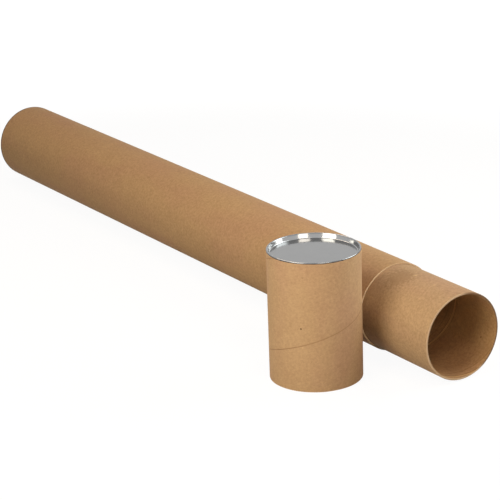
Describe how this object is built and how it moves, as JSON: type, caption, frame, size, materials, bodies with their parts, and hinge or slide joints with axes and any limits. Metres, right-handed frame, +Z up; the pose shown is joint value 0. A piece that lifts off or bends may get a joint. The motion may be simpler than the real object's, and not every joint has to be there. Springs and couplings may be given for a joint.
{
  "type": "cardboard mailing tube",
  "caption": "Telescoping kraft board mailing tube lying on its side, with its metal-ended slip cap taken off and standing beside the neck.",
  "frame": {"origin": "on the floor under the middle of the whole, tube and cap", "axes": "+X along the tube, from its metal end to its open mouth; +Z up"},
  "size_m": [1.073, 0.2326, 0.158],
  "materials": {
    "body_board": "uncoated kraft, spirally wound",
    "neck_board": "uncoated kraft, spirally wound",
    "cap_board": "uncoated kraft, spirally wound",
    "tinplate": "bright pressed tinplate"
  },
  "bodies": {
    "tube": {"outer_tube": "body_board", "neck_tube": "neck_board", "bottom_end": "tinplate"},
    "cap": {"cap_tube": "cap_board", "cap_end": "tinplate"}
  },
  "joints": [
    {"name": "cap_slide", "type": "slide", "parent": "tube", "child": "cap", "axis": [0, 0, 1], "range_m": [0, 0.125]}
  ]
}
